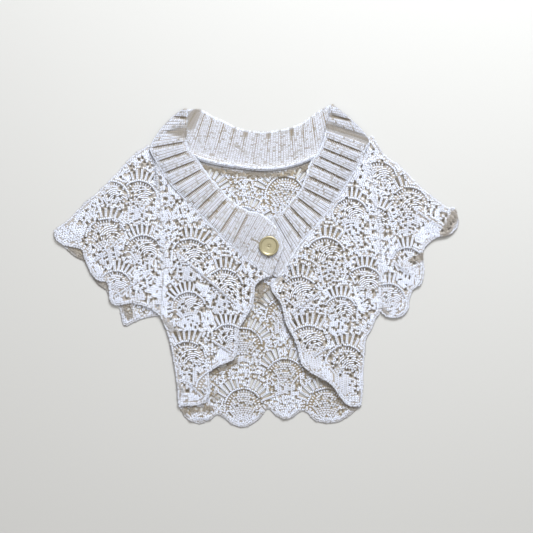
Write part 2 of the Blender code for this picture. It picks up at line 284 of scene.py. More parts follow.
def fanHeight(points, spots):
    # the ridge, the trough inside it and the low dome of whichever fan is nearest
    focus, size = np.array([spot[:2] for spot in spots]), np.array([spot[4] for spot in spots])
    lean = np.radians([spot[2] for spot in spots])
    centre = focus + fan["middle"] * size[:, None] * np.column_stack((np.sin(lean), np.cos(lean)))
    own = np.argmin(np.linalg.norm(points[:, None, :] - centre[None], axis=2), axis=1)
    away = points - focus[own]
    radius = np.linalg.norm(away, axis=1) / size[own]
    turned = np.degrees(np.abs(np.arctan2(away[:, 0], away[:, 1]) - lean[own]))
    inReach = smoothStep((fan["ridgeReach"] + 12 - turned) / 25)
    ring = fan["ridgeHigh"] * np.exp(-((radius - fan["ridge"] - 0.7) / 3.4) ** 2)
    ring = ring - fan["troughDeep"] * np.exp(-((radius - fan["slitFrom"] - 0.8) / 3.2) ** 2)
    return inReach * (ring + fan["domeHigh"] * smoothStep(1 - radius / fan["domeWide"]))


def reliefOf(low, piece, spots=()):
    # the CAD piece's own height, smoothed, with the creases, fans and soft waves on it
    step, (x0, y0) = cloth["gridStep"], low[:, :2].min(axis=0) - cloth["margin"]
    right, top = low[:, :2].max(axis=0) + cloth["margin"]
    columns, rows = int((right - x0) / step) + 2, int((top - y0) / step) + 2
    xs, ys = x0 + np.arange(columns) * step, y0 + np.arange(rows) * step
    points = np.stack(np.meshgrid(xs, ys), axis=2).reshape(-1, 2)
    height = np.zeros(len(points))
    for first in range(0, len(points), cloth["batch"]):
        part = points[first:first + cloth["batch"]]
        away = np.sum((part[:, None, :] - low[None, :, :2]) ** 2, axis=2)
        weight = np.exp(-(away - away.min(axis=1, keepdims=True)) / (2 * cloth["blur"] ** 2))
        height[first:first + cloth["batch"]] = weight @ low[:, 2] / weight.sum(axis=1)
    for crease in piece.get("creases", ()):
        height += creaseHeight(points, *crease)
    if len(spots):
        height += fanHeight(points, spots)
    wave, ripple = cloth["wave"], cloth["ripple"]
    height += piece["swell"] * np.array([
        noise.noise(Vector((x / wave, y / wave, piece["seed"])))
        + 0.5 * noise.noise(Vector((x / ripple, y / ripple, 3.3)))
        for x, y in points
    ])
    covered = np.zeros(len(points))
    for name in piece["covers"]:
        loop = outlines[name][0]
        depth = np.where(insideLoop(points, loop), edgeDistance(points, loop), 0)
        covered = np.maximum(covered, smoothStep(depth / cloth["lapSoft"]))
    shape = (rows, columns)
    return {"x0": x0, "y0": y0, "z": height.reshape(shape), "covered": covered.reshape(shape)}


def heightAt(relief, x, y, layer="z"):
    z = relief[layer]
    u = np.clip((x - relief["x0"]) / cloth["gridStep"], 0, z.shape[1] - 1.001)
    v = np.clip((y - relief["y0"]) / cloth["gridStep"], 0, z.shape[0] - 1.001)
    i, j = u.astype(int), v.astype(int)
    u, v = u - i, v - j
    return ((z[j, i] * (1 - u) + z[j, i + 1] * u) * (1 - v)
            + (z[j + 1, i] * (1 - u) + z[j + 1, i + 1] * u) * v)


# Single stitches, in mm, to be copied many times

def strand(centres, radii, flat=0.85):
    # a closed four-sided strand that tapers to both ends: points, triangles, UV, and the painted shade at
    # each point, none on top, more at the sides and ends, most underneath
    centres = np.array(centres, float)
    points, depth = [centres[0]], [0.6]
    for i, radius in enumerate(radii, start=1):
        ahead = centres[i + 1] - centres[i - 1]
        side = radius * np.array((ahead[1], -ahead[0], 0)) / np.linalg.norm(ahead[:2])
        up = radius * np.array((0, 0, flat))
        points += [centres[i] + side, centres[i] + up, centres[i] - side, centres[i] - up]
        depth += [0.3, 0.0, 0.3, 0.95]
    points.append(centres[-1])
    depth.append(0.6)
    triangles, uvs = [], []
    rings, last = len(radii), len(points) - 1
    for k in range(4):
        u, v, after = k / 4, (k + 1) / 4, (k + 1) % 4
        triangles.append((0, 1 + k, 1 + after))
        uvs.append(((u, 0), (u, 0.2), (v, 0.2)))
        for ring in range(rings - 1):
            a, b = 1 + 4 * ring, 5 + 4 * ring
            low, high = (ring + 1) / (rings + 1), (ring + 2) / (rings + 1)
            triangles += [(a + k, b + k, b + after), (a + k, b + after, a + after)]
            uvs += [((u, low), (u, high), (v, high)), ((u, low), (v, high), (v, low))]
        end = 1 + 4 * (rings - 1)
        triangles.append((last, end + after, end + k))
        uvs.append(((u, 1), (v, 0.8), (u, 0.8)))
    return np.array(points), np.array(triangles), np.array(uvs), np.array(depth)


def together(*strands):
    first, moved = 0, []
    for points, triangles, uvs, depth in strands:
        moved.append((points, triangles + first, uvs, depth))
        first += len(points)
    return tuple(np.concatenate(group) for group in zip(*moved))


knitStitch = together(*[
    strand([(s * 0.15, -3.0, -0.7), (s * 0.8, -1.3, 0.2), (s * 1.4, 0.9, 0.45), (s * 1.25, 2.6, -0.5)],
           (0.78, 0.88)) for s in (-1, 1)
])
plyStitch = strand([(-3.0, -0.5, -0.45), (-1.6, -0.35, 0.25), (0, 0, 0.45), (1.6, 0.35, 0.25),
                    (3.0, 0.5, -0.45)], (0.8, 0.95, 0.8))
barStitch = strand([(0, -1.9, -0.6), (0, -1.0, 0.1), (0, 1.0, 0.1), (0, 1.9, -0.6)], (0.7, 0.7))


def onRelief(relief, base):
    # puts flat points on the cloth
    return lambda x, y: (x, y, heightAt(relief, x, y) + base)


def knitPiece(name, place, batches, seed):
    # one mesh of all the stitches: each row of a batch is x, y, turn, across, along, lift, shade
    draw = np.random.default_rng(seed)
    points, triangles, uvs, paintedShade, tone, first = [], [], [], [], [], 0
    for (form, faces, faceUvs, depth), rows in batches:
        if len(rows) == 0:
            continue
        rows = np.array(rows, float)
        count, size = len(rows), len(form)
        turn = np.radians(rows[:, 2] + draw.normal(0, 3.0, count))[:, None]
        grow = draw.normal(1, 0.05, (count, 2))
        across = form[:, 0] * (rows[:, 3] * grow[:, 0])[:, None]
        along = form[:, 1] * (rows[:, 4] * grow[:, 1])[:, None]
        x = rows[:, 0:1] + across * np.cos(turn) + along * np.sin(turn)
        y = rows[:, 1:2] - across * np.sin(turn) + along * np.cos(turn)
        x, y, z = place(x, y)
        z = z + form[:, 2] + rows[:, 5:6] + draw.normal(0, 0.12, (count, 1))
        points.append(np.stack((x, y, z), axis=2).reshape(-1, 3))
        triangles.append((faces + first + size * np.arange(count)[:, None, None]).reshape(-1, 3))
        uvs.append(np.tile(faceUvs.reshape(-1, 2), (count, 1)))
        # painted shade: the strand's own, deepened by the row's shade
        paintedShade.append((1 - (1 - depth) * (1 - rows[:, 6:7])).ravel())
        tone.append(np.repeat(draw.random(count), size))
        first += count * size
    points = np.concatenate(points) * mm
    points[:, 2] = np.maximum(points[:, 2], 0.0001)
    return meshPiece(name, points, np.concatenate(triangles), yarnMaterial,
                     np.concatenate(paintedShade), np.concatenate(tone), np.concatenate(uvs))


def meshPiece(name, points, triangles, material, paintedShade, tone, uvs=None):
    mesh = bpy.data.meshes.new(name)
    mesh.from_pydata(points, [], triangles, shade_flat=False)
    # the painted shade and the random tone at each point, for the material
    for label, values in (("paintedShade", paintedShade), ("tone", tone)):
        layer = mesh.attributes.new(label, "FLOAT", "POINT")
        layer.data.foreach_set("value", np.asarray(values, np.float32))
    if uvs is not None:
        layer = mesh.uv_layers.new(name="UVMap")
        layer.data.foreach_set("uv", np.asarray(uvs, np.float32).ravel())
    mesh.materials.append(material)
    piece = bpy.data.objects.new(name, mesh)
    bpy.context.scene.collection.objects.link(piece)
    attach(piece, "root")
    return piece


def closedSheet(name, flat, high, low, triangles, paintedShade):
    # a sheet with two faces, at the heights high and low, and walls along every free edge
    count = len(flat)
    edges = dict.fromkeys(edge for a, b, c in triangles for edge in ((a, b), (b, c), (c, a)))
    border = [edge for edge in edges if edge[::-1] not in edges]
    walls = [t for a, b in border for t in ((a, a + count, b + count), (a, b + count, b))]
    everything = np.concatenate((triangles, triangles[:, ::-1] + count, np.array(walls)))
    points = np.concatenate((np.column_stack((flat, high)), np.column_stack((flat, low)))) * mm
    points[:, 2] = np.maximum(points[:, 2], 0)
    # painted shade on the top face as given, and only a little on the underside
    paintedShade = np.concatenate((paintedShade, np.full(count, cloth["undersideShade"])))
    return meshPiece(name, points, everything, webMaterial, paintedShade, np.full(2 * count, 0.5))


# The knitted fan, in mm from its focus. A spot is a fan's x, y, lean, the angles between which its rays
# open, and its size

fan = {
    "middle": 22, "heart": 23.5, "domeHigh": 1.1, "domeWide": 26, "sizes": (0.86, 1.08),
    "rings": (9.0, 12.4, 15.8, 19.2, 22.6, 26.0), "ringFrom": (10, -8), "ringReach": (-62, 48),
    "ringGap": 4.4, "columnStep": 4.4, "rowStep": 3.7, "rowBend": 0.012,
    "slitFrom": 25.2, "slitTo": 27.9, "slitHalf": 0.85, "slitStep": 9.6, "slitReach": 42, "slitShare": 0.84,
    "ridge": 31.8, "ridgeReach": 78, "ridgeHigh": 1.7, "ridgeStep": 3.1, "troughDeep": 1.1,
    "rayFrom": 36.4, "rayLong": 13.6, "rayNarrow": 1.45, "rayWide": 2.05, "rayStep": 11.2, "cordStep": 3.3,
    "eyelets": (
        (-11.5, 9.5, 2.3), (-5.5, 3.5, 1.7), (14.5, 2.5, 2.2), (-16, -2, 2.0), (5, -14, 1.6),
        (-7, -15, 1.7), (21, -9, 1.9), (-22, -13, 2.1), (8, -27, 1.7), (-10, -31, 1.9), (17, -33, 2.2),
    ),
    "rim": 55.5, "rimStep": 6.6, "rimReach": 85, "rimShare": 0.7,
    "outerReach": 98, "outerTo": 96, "row": 3.5, "stitch": 4.35,
}


def onRay(spot, radius, angle):
    turn = math.radians(angle)
    return spot[0] + spot[4] * radius * math.sin(turn), spot[1] + spot[4] * radius * math.cos(turn)


def beside(spot, across, along):
    turn = math.radians(spot[2])
    across, along = across * spot[4], along * spot[4]
    return (spot[0] + across * math.cos(turn) + along * math.sin(turn),
            spot[1] - across * math.sin(turn) + along * math.cos(turn))


def inHeart(spot, x, y):
    return math.hypot(x - spot[0], y - spot[1]) < fan["heart"] * spot[4]


def wantedGaps(piece, spots, outline, draw):
    # the gaps asked for as x1, y1, r1, x2, y2, r2, isRay: rays first, loose eyelets last
    wanted = []
    for spot in spots:
        for first, last in spot[3]:
            for angle in np.arange(first, last + 1, fan["rayStep"]):
                angle = angle + draw.normal(0, 0.9)
                far = onRay(spot, fan["rayFrom"] + fan["rayLong"] * draw.uniform(0.62, 1.05), angle)
                wide = fan["rayWide"] * draw.uniform(0.85, 1.15)
                wanted.append((*onRay(spot, fan["rayFrom"], angle), fan["rayNarrow"], *far, wide, 1))
    for spot in spots:
        before, after = fan["slitReach"] * draw.uniform(0.6, 1.1, 2)
        for angle in np.arange(-fan["slitReach"], fan["slitReach"] + 1, fan["slitStep"]):
            angle, half = angle + spot[2] + draw.normal(0, 1.3), fan["slitHalf"] * draw.uniform(0.65, 1.15)
            near, far = onRay(spot, fan["slitFrom"], angle), onRay(spot, fan["slitTo"], angle)
            if draw.random() < fan["slitShare"] and -before < angle - spot[2] < after:
                wanted.append((*near, half, *far, half, 0))
        for across, along, radius in fan["eyelets"]:
            x, y = beside(spot, across + draw.normal(0, 1.0), along + draw.normal(0, 1.0))
            radius = radius * draw.uniform(0.75, 1.15)
            lean = draw.uniform(0, 1.6)
            wanted.append((x, y, radius, x + draw.normal(0, 0.5), y + lean, radius * 0.9, 0))
        reach = fan["rimReach"]
        count = int(math.radians(2 * reach) * fan["rim"] / fan["rimStep"])
        for i in range(count):
            if draw.random() < fan["rimShare"]:
                angle, radius = 2 * reach * i / count - reach + spot[2], fan["rim"] + draw.normal(0, 1.0)
                half, far = draw.uniform(0.9, 1.5), onRay(spot, radius + draw.uniform(0.6, 3.2), angle)
                wanted.append((*onRay(spot, radius, angle), half, *far, half, 0))
    low, high = outline.min(axis=0), outline.max(axis=0)
    for x, y in draw.uniform(low, high, (int(np.prod(high - low) / piece["looseGap"]), 2)):
        half, heading = draw.uniform(1.0, 2.1), draw.normal(math.pi / 2, 0.7)
        reach = draw.uniform(0.3, 2.8)
        wanted.append((x, y, half, x + reach * math.cos(heading), y + reach * math.sin(heading), half, 0))
    return np.array(wanted)


def gapsOf(piece, spots, outline, draw):
    # the gaps that have room, each clear of the others, of the outline and of the creases
    wanted = wantedGaps(piece, spots, outline, draw)
    ends = np.stack((wanted[:, 0:2], (wanted[:, 0:2] + wanted[:, 3:5]) / 2, wanted[:, 3:5]), axis=1)
    flat = ends.reshape(-1, 2)
    fits = insideLoop(flat, outline) & (edgeDistance(flat, outline) > cloth["edgeRoom"])
    for *stretch, _ in piece["edges"]:
        fits &= edgeDistance(flat, stretchOf(outline, *stretch), closed=False) > piece["hem"]
    for solid in piece.get("solid", ()):
        fits &= depthIn(flat - tableShift, *solid)[0] < 0
    for *line, _ in piece.get("creases", ()):
        fits &= lineAway(flat, tablePoints(*line))[0] > cloth["creaseRoom"]
    fits = fits.reshape(-1, 3).all(axis=1)
    kept = []
    for gap, probe in zip(wanted[fits], ends[fits]):
        radii = np.array((gap[2], (gap[2] + gap[5]) / 2, gap[5]))
        if not kept or (gapDistance(probe, np.array(kept)) >= radii + cloth["gapRoom"]).all():
            kept.append(gap)
    return np.array(kept)


def gapDistance(points, gaps):
    away, share = lineDistance(points, gaps[:, 0:2], gaps[:, 3:5])
    return (away - gaps[:, 2] - (gaps[:, 5] - gaps[:, 2]) * share).min(axis=1)


# How the stitches are laid, in mm; "missed" is the share left out of the plain cloth, "tucked" how far a
# piece goes on under another, and "openNear" how near to an open ray its cords must be

laying = {
    "edgeStep": 4.1, "edgeRow": 3.2, "edgeIn": 1.7, "creaseStep": 3.4, "stemStep": 3.3, "stemWide": 3.8,
    "plainStep": 4.2, "plainRow": 3.5, "missed": 0.03, "tucked": 7, "openNear": 10.5,
}


def paintedShadeAt(piece, outline, points):
    # how much painted shade each point gets, from 0 to 1: along the rim, in shaded hollows and in painted
    # cast shadows
    dim = piece["rim"] * smoothStep((2.9 - edgeDistance(points, outline)) / 1.6)
    for *paintedShade, deep in piece.get("paintedShadePatches", ()):
        inside, wide = depthIn(points - tableShift, *paintedShade)
        dim = np.maximum(dim, deep * smoothStep(0.5 + inside / (1.6 + 0.5 * wide)))
    return dim


def wantedStitches(piece, outline, spots, draw):
    # every stitch asked for, the ones that show most first: its kind, x, y, turn, size across and along,
    # lift, how far others keep off it, and the fan that owns it
    found = []

    def offer(kind, x, y, turn, across, along, lift, clear, owner=-1):
        found.append((kind, x, y, turn, across, along, lift, clear, owner))

    for *stretch, width in piece["edges"]:
        line = stretchOf(outline, *stretch)
        for row in range(width):
            run, ahead = evenRun(line, laying["edgeStep"])
            inward = np.column_stack((-ahead[:, 1], ahead[:, 0]))
            run = run + inward * (laying["edgeIn"] + laying["edgeRow"] * row)
            for (x, y), (ix, iy) in zip(run, inward):
                x, y = x + draw.normal(0, 0.4), y + draw.normal(0, 0.4)
                turn = math.degrees(math.atan2(ix, iy)) + draw.normal(0, 13)
                offer("plain", x, y, turn, draw.uniform(0.75, 0.98), 0.88, draw.uniform(-0.3, 0.2), 2.3)
    for *line, _ in piece.get("creases", ()):
        run, ahead = evenRun(tablePoints(*line), laying["creaseStep"])
        for x, y in run + draw.normal(0, 0.35, run.shape):
            turn = math.degrees(math.atan2(*ahead[0])) + draw.normal(0, 10)
            offer("plain", x, y, turn, 0.85, 0.85, draw.uniform(0, 0.4), 2.4)
    for spot in spots:
        reach, radius = fan["ridgeReach"], fan["ridge"]
        count = int(math.radians(2 * reach) * radius / fan["ridgeStep"])
        for i in range(count + 1):
            angle = spot[2] - reach + 2 * reach * i / count
            x, y = onRay(spot, radius + draw.normal(0, 0.4), angle)
            offer("plain", x, y, angle + draw.normal(0, 6), 0.98, 0.86, draw.uniform(0.3, 0.7), 2.2)
    for spot in spots:
        near, far = fan["rayFrom"] - 0.4, fan["rayFrom"] + fan["rayLong"] + 2
        for first, last in spot[3]:
            for angle in np.arange(first - fan["rayStep"] / 2, last + fan["rayStep"], fan["rayStep"]):
                for radius in np.arange(near, far, fan["cordStep"]):
                    offer("cord", *onRay(spot, radius, angle), angle, 0.86, 0.9, 0.3, 2.6)
    for owner, spot in enumerate(spots):
        for ring in fan["rings"] if piece["arcs"] else ():
            first, last = fan["ringReach"]
            count = int(math.radians(last - first) * ring / fan["ringGap"])
            centre = (*beside(spot, *fan["ringFrom"]), 0, (), spot[4])
            for i in range(count + 1):
                angle = spot[2] + first + (last - first) * i / count
                x, y = onRay(centre, ring, angle)
                if inHeart(spot, x, y):
                    offer("ply", x, y, angle, 1.1, 1.0, 0.1, 2.4, owner)
        for row in range(-3, 7):
            for column in range(-6, 7):
                across = fan["columnStep"] * (column + 0.5 * (row % 2))
                x, y = beside(spot, across, fan["rowStep"] * row - fan["rowBend"] * across ** 2)
                if inHeart(spot, x, y):
                    offer("plain", x, y, spot[2] + 3.5 * column, 0.84, 0.84, 0.0, 2.7, owner)
        for angle in np.arange(-fan["slitReach"] - 4.5 * fan["slitStep"], 85, fan["slitStep"]):
            x, y = onRay(spot, (fan["slitFrom"] + fan["slitTo"]) / 2, angle + spot[2])
            offer("bar", x, y, angle + spot[2], 1.2, 1.35, 0.1, 1.5, owner)
        for k in range(14):
            half = min(1 + k // 2, 4)
            for j in range(-half, half + 1):
                x, y = beside(spot, j * laying["stemWide"], abs(j) * 2.2 - 2.4 - laying["stemStep"] * k)
                offer("plain", x, y, spot[2] + 24 * np.sign(j), 0.85, 0.88, 0.0, 2.6)
        for ring in np.arange(fan["ridge"] + 4.7, fan["outerTo"], fan["row"]):
            count = int(math.radians(2 * fan["outerReach"]) * ring / fan["stitch"])
            for i in range(count):
                angle = spot[2] - fan["outerReach"] + 2 * fan["outerReach"] * i / count
                offer("plain", *onRay(spot, ring, angle), angle, 1.02, 1.0, 0.0, 2.95, owner)
    low, high = outline.min(axis=0), outline.max(axis=0)
    step, rise = laying["plainStep"], laying["plainRow"]
    for row in range(int((high[1] - low[1]) / rise) + 2):
        for column in range(int((high[0] - low[0]) / step) + 2):
            offer("plain", low[0] + step * column, low[1] + rise * row, None, 1.02, 1.0, 0.0, 3.1)
    return found


def stitchPlan(piece, outline, spots, gaps, keepOut, draw):
    # the stitches that have room, in batches of one shape
    found = wantedStitches(piece, outline, spots, draw)
    places = np.array([entry[1:3] for entry in found])
    loose = np.array([entry[7] > 2.9 for entry in found])
    cord = np.array([entry[0] == "cord" for entry in found])
    room = np.where(cord, 0.2, np.where(loose, 1.1, 0.6))
    fits = insideLoop(places, outline) & (gapDistance(places, gaps) > room)
    fits &= ~loose | (draw.random(len(found)) > laying["missed"])
    openRays = gaps[gaps[:, 6] == 1]
    middles = (openRays[:, 0:2] + openRays[:, 3:5]) / 2
    fromRay = np.linalg.norm(places[:, None, :] - middles[None], axis=2).min(axis=1)
    fits &= ~cord | (fromRay < laying["openNear"])
    for loop in keepOut:
        fits &= ~(insideLoop(places, loop) & (edgeDistance(places, loop) > laying["tucked"]))
    centres = np.array([beside(spot, 0, fan["middle"]) for spot in spots])
    nearest = np.argmin(np.linalg.norm(places[:, None, :] - centres[None], axis=2), axis=1)
    owners = np.array([entry[8] for entry in found])
    fits &= (owners < 0) | (owners == nearest)

    laid, taken = {"plain": [], "ply": [], "bar": []}, {}
    for entry, ok, near in zip(found, fits, nearest):
        if not ok:
            continue
        kind, x, y, turn, across, along, lift, clear, _ = entry
        i, j = int(x // 4), int(y // 4)
        close = [p for m in (i - 1, i, i + 1) for n in (j - 1, j, j + 1) for p in taken.get((m, n), ())]
        if any((x - px) ** 2 + (y - py) ** 2 < clear ** 2 for px, py in close):
            continue
        taken.setdefault((i, j), []).append((x, y))
        if turn is None:
            turn = math.degrees(math.atan2(x - spots[near][0], abs(y - spots[near][1]) + 30))
        if clear > 2.9:
            drift = noise.noise_vector(Vector((x / 16, y / 16, piece["seed"])))
            x, y = x + 2.4 * drift[0] + draw.normal(0, 0.3), y + 2.4 * drift[1] + draw.normal(0, 0.3)
            turn = turn + 26 * drift[2] + draw.normal(0, 7)
        laid["plain" if kind == "cord" else kind].append((x, y, turn, across, along, lift))
    batches = []
    for kind, form in (("plain", knitStitch), ("ply", plyStitch), ("bar", barStitch)):
        # painted shade for each stitch at the rim and in the shaded patches
        dim = paintedShadeAt(piece, outline, np.array([row[:2] for row in laid[kind]]).reshape(-1, 2))
        batches.append((form, [(*row, shade) for row, shade in zip(laid[kind], dim)]))
    return batches


def webPiece(piece, outline, gaps, relief):
    # the thin knitted ground: the outline with every gap cut through
    loops = [outline]
    for x1, y1, r1, x2, y2, r2, _ in gaps:
        heading = math.atan2(y2 - y1, x2 - x1)
        ends = ((x1, y1, r1, (100, 140, 180, 220, 260)), (x2, y2, r2, (-80, -40, 0, 40, 80)))
        loops.append(np.array([
            (x + r * math.cos(heading + math.radians(a)), y + r * math.sin(heading + math.radians(a)))
            for x, y, r, angles in ends for a in angles
        ]))
    points, faces = [], []
    for loop in loops:
        faces.append(list(range(len(points), len(points) + len(loop))))
        points += [Vector(p) for p in loop]
    step, rise = cloth["meshStep"], 0.87 * cloth["meshStep"]
    low, high = outline.min(axis=0), outline.max(axis=0)
    inner = np.array([
        (low[0] + step * (i + 0.5 * (j % 2)), low[1] + rise * j)
        for i in range(int((high[0] - low[0]) / step) + 1)
        for j in range(int((high[1] - low[1]) / rise) + 1)
    ])
    inner = inner[insideLoop(inner, outline)]
    inner = inner[(edgeDistance(inner, outline) > 2.5) & (gapDistance(inner, gaps) > 1.5)]
    points += [Vector(p) for p in inner]
    flat, _, triangles, _, _, origins = geometry.delaunay_2d_cdt(points, [], faces, 1, 1e-4)
    triangles = [t for t, origin in zip(triangles, origins) if origin and all(o == 0 for o in origin)]
    used = sorted({i for t in triangles for i in t})
    index = {old: new for new, old in enumerate(used)}
    flat = np.array([flat[i] for i in used])
    triangles = np.array([[index[i] for i in t] for t in triangles])
    corners = flat[triangles]
    turned = np.cross(corners[:, 1] - corners[:, 0], corners[:, 2] - corners[:, 0]) < 0
    triangles[turned] = triangles[turned][:, ::-1]
    z = heightAt(relief, flat[:, 0], flat[:, 1])
    # the ground's top is painted in shade, at the piece's ground level inside and a little less near the
    # outline
    paintedShade = 0.7 + (piece["ground"] - 0.7) * smoothStep(edgeDistance(flat, outline) / 7)
    return closedSheet(piece["node"] + "_ground", flat, z + cloth["webHigh"], z + cloth["webLow"],
                       triangles, paintedShade)


# The lace pieces, in mm. "looseGap" is the area for one loose eyelet, "hem" how far gaps keep off the
# hems, "ground" and "rim" how much painted shade the ground and the edge get. "edges" are start, via, end
# and rows of hem stitches. "solid" and the patches of painted shade run from x, y, radius to x, y, radius

openLace = {
    "arcs": True, "looseGap": 46, "hem": 6.8, "ground": 0.84, "rim": 0.16, "swell": 0.9, "covers": (),
}
underLace = {
    "arcs": True, "looseGap": 90, "hem": 7.0, "ground": 0.9, "rim": 0.4, "swell": 0.0, "restsOn": [],
}

backPanel = {
    "node": "back", "seed": 1.7, "arcs": False, "looseGap": 66, "hem": 7.0, "ground": 0.95, "rim": 0.5,
    "swell": 0.0, "sizes": (0.97, 1.03), "restsOn": [],
    "covers": ("left_front", "right_front", "neck_band_left", "neck_band_right"),
    "columnFrom": (-21, -134), "across": 68.6, "drop": 49.8, "rays": ((-64, -18), (19, 64)), "spots": (),
    "edges": (((-128, -231), (-25, -267), (173, -231), 3),),
    "creases": ((-25, 94.4, -9, 92.6, 0.0), (-9, 92.6, 3, 85.5, 0.0)),
    "paintedShadePatches": (
        # the last number is how dark the painted shade is: the shadow cast by the neck band, then the
        # shadows along the edges of the fronts
        (-96, 164, 6, -30, 151, 5, 0.9), (-30, 151, 5, 42, 149, 5, 0.85), (42, 149, 5, 96, 166, 8, 0.9),
        (4, -34, 11, 6, -60, 7, 0.8), (20, -38, 6, 40, -61, 5, 0.75), (-23, -98, 4, -9, -81, 5, 0.7),
        (-73, -178, 5, -36, -159, 6, 0.8), (-70, -212, 5, -68, -218, 5, 0.6),
        (-121, -240, 6, -77, -235, 5, 0.85), (49, -96, 3, 65, -129, 4, 0.65),
        (82, -173, 5, 128, -204, 6, 0.8), (135, -222, 5, 166, -239, 5, 0.8),
    ),
    "solid": ((-101, -251, 7, -96, -251, 7), (-26, -249, 12, -14, -249, 12), (42, -244, 7, 51, -244, 7),
              (110, -247, 11, 124, -246, 11), (-21, 93, 9, 0, 86, 9)),
}
leftFront = {
    **openLace, "node": "left_front", "seed": 2.3, "restsOn": ["back"],
    "spots": (
        # x, y, lean, and the angles between which its rays open
        (-109, 13, 12, ((-14, 42),)), (-53, -37, 14, ((-12, 34),)), (-111, -71, -8, ((-48, 8),)),
        (-46, -124, 8, ((-22, 24),)), (-114, -156, 0, ((-34, 22),)), (-66, -205, 0, ((-30, 26),)),
    ),
    "edges": (((26, -17), (-30, -118), (-128, -231), 2), ((-158, -83), (-139, -139), (-128, -231), 1)),
    "creases": (
        # x, y, x, y, and how high
        (-130, 21, -25, -70, 3.2), (-71, -124, -35, -147, 2.6), (-120, -184, -86, -218, 2.2),
        (-163.4, 169, -161.6, 120, 0.0),
    ),
    # patches of painted shade, the last number how dark
    "paintedShadePatches": ((-152, -90, 4, -130, -112, 5, 0.6), (-128, -194, 3, -121, -208, 4, 0.5)),
    "solid": ((-44, -136, 10, -58, -152, 9), (-58, -152, 9, -100, -200, 7), (-110, -222, 9, -96, -222, 8)),
}
rightFront = {
    **openLace, "node": "right_front", "seed": 4.1, "restsOn": ["back"],
    "spots": (
        (114, 13, -12, ((-28, 28),)), (71, -50, -14, ((-20, 25),)), (139, -78, 8, ((-26, 19),)),
        (86, -131, -8, ((-30, 26),)), (147, -164, 0, ((-24, 32),)), (155, 82, -6, ((-24, 21),)),
        (178, -32, 10, ((-10, 35),)),
    ),
    "edges": (((35, -19), (59, -114), (173, -231), 2), ((205, -75), (182, -119), (173, -231), 1)),
    "creases": ((105, -43, 59, -78, 2.8), (127, -128, 94, -151, 2.4)),
    # patches of painted shade, the last number how dark
    "paintedShadePatches": ((20, -20, 6, 44, -22, 5, 0.6), (192, -76, 3, 178, -82, 4, 0.5)),
    "solid": ((70, -140, 10, 110, -171, 11), (110, -171, 11, 158, -220, 12)),
}
leftSleeveFront = {
    **openLace, "node": "left_sleeve_front", "seed": 5.9, "hem": 8.2, "restsOn": ["left_sleeve_back"],
    "spots": (
        (-193, 109, 5, ((-10, 42),)), (-247, 45, -10, ((-6, 28),)), (-232, -36, 7, ((4, 42),)),
        (-186, 21, 0, ((-30, 15),)), (-238, 111, 0, ((-12, 10),)),
    ),
    "edges": (((-333, 57), (-241, -57), (-158, -83), 2), ((-177, 198), (-260, 122), (-333, 57), 1)),
    "creases": ((-177, 108, -190, 89, 1.8), (-219, 49, -266, 6, 2.4), (-178, -14, -236, -53, 2.4)),
    "solid": ((-322, 52, 9, -298, 54, 17), (-275, 12, 8, -258, -16, 8), (-232, -50, 13, -222, -44, 12)),
}
rightSleeveFront = {
    **openLace, "node": "right_sleeve_front", "seed": 7.2, "hem": 8.2, "restsOn": ["right_sleeve_back"],
    "spots": (
        (252, 97, 4, ((-24, -12),)), (249, 3, 8, ((-16, 6),)), (194, 69, 0, ((12, 35),)),
        (218, -57, 0, ((-14, 12),)), (201, 140, -6, ((8, 20),)),
    ),
    "edges": (((327, 95), (276, 8), (205, -75), 2), ((185, 209), (256, 146), (327, 95), 1)),
    "creases": ((228, 6, 257, -17, 2.4), (262, 92, 306, 62, 2.0)),
    # patches of painted shade, the last number how dark
    "paintedShadePatches": ((311, 53, 8, 328, 84, 9, 0.85), (255, 8, 4, 272, 14, 8, 0.85),
                (200, 197, 3, 207, 187, 4, 0.4), (209, -71, 3, 216, -78, 4, 0.75)),
    "solid": ((266, 48, 8, 290, 62, 8), (270, -10, 8, 262, -26, 8), (242, -64, 13, 232, -58, 10)),
}
leftSleeveBack = {
    **underLace, "node": "left_sleeve_back", "seed": 8.8, "covers": ("left_sleeve_front",),
    "spots": tuple((x + 19, y - 26, 0, rays) for x, y, _, rays in leftSleeveFront["spots"]),
    "edges": (((-333, 57), (-239, -57), (-158, -83), 3),),
    # painted shade on the sleeve's back where it shows between the scallops
    "paintedShadePatches": ((-303, 29, 8, -282, 14, 9, 0.85), (-264, -20, 8, -244, -36, 8, 0.8),
                (-215, -64, 9, -209, -82, 7, 0.8)),
}
rightSleeveBack = {
    **underLace, "node": "right_sleeve_back", "seed": 9.4, "covers": ("right_sleeve_front",),
    "spots": tuple((x - 19, y - 26, 0, rays) for x, y, _, rays in rightSleeveFront["spots"]),
    "edges": (((327, 95), (276, 8), (205, -75), 2),),
}


def columnSpots(piece, outline):
    # the back's fans, in even columns, wherever the ridge's top lies on the piece
    spots = []
    for column in range(-4, 6):
        for row in range(-3, 9):
            x = piece["columnFrom"][0] + column * piece["across"]
            y = piece["columnFrom"][1] + (2 * row + column % 2) * piece["drop"]
            if insideLoop(tablePoints(x, y + fan["ridge"] + 1.3), outline)[0]:
                spots.append((x, y, 0, piece["rays"]))
    return spots


